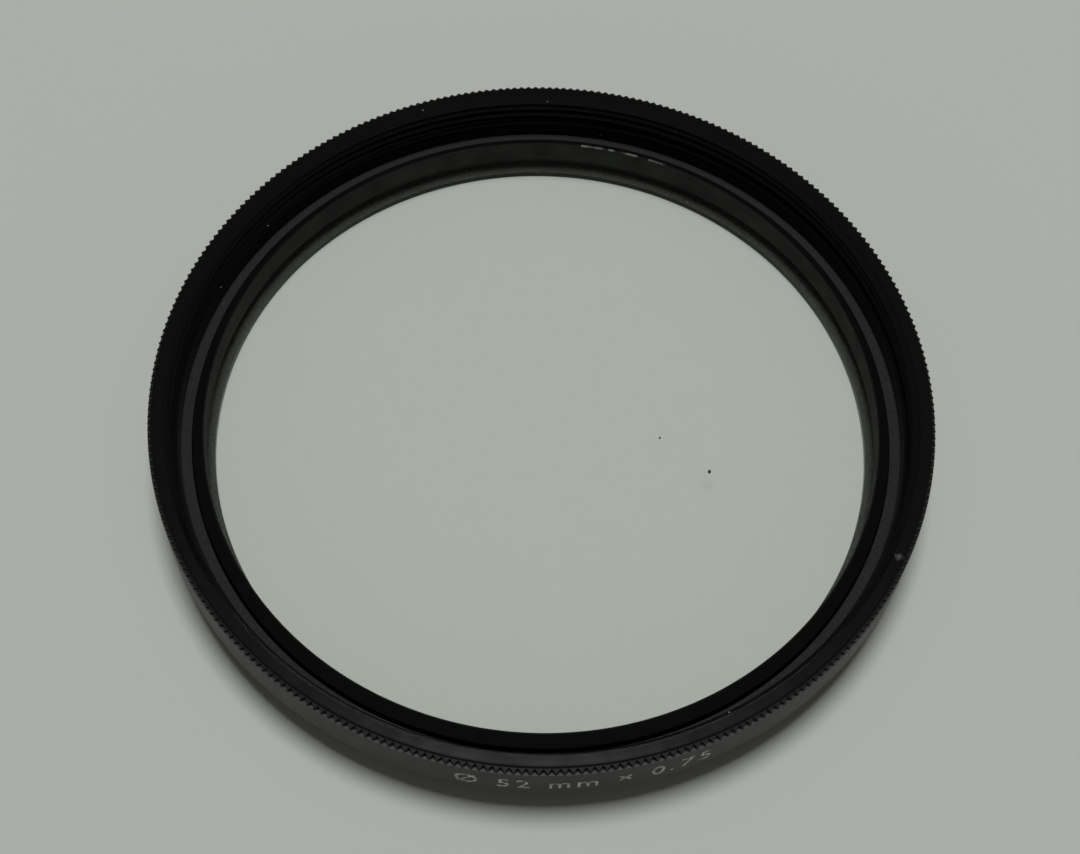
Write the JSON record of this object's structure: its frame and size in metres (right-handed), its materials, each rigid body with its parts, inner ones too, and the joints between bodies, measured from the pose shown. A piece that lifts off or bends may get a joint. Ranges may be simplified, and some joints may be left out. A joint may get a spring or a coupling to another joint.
{
  "type": "screw-in lens filter",
  "caption": "Round screw-in lens filter: clear glass in a black metal ring, knurled at the front rim, with a female thread in front and a male thread behind for a camera lens.",
  "frame": {"origin": "centre of the rear face, on the filter's axis", "axes": "+Z along the axis towards the front, the side with the knurled rim; X and Y are any two square directions across it"},
  "size_m": [0.0542, 0.0542, 0.007],
  "materials": {
    "ring_metal": "black anodised, satin, worn at a few edges",
    "filter_glass": "clear, polished, lightly coated",
    "retainer_metal": "black anodised, matt"
  },
  "bodies": {
    "root": {"mount_ring": "ring_metal", "filter_glass": "filter_glass", "retaining_ring": "retainer_metal"}
  },
  "joints": []
}
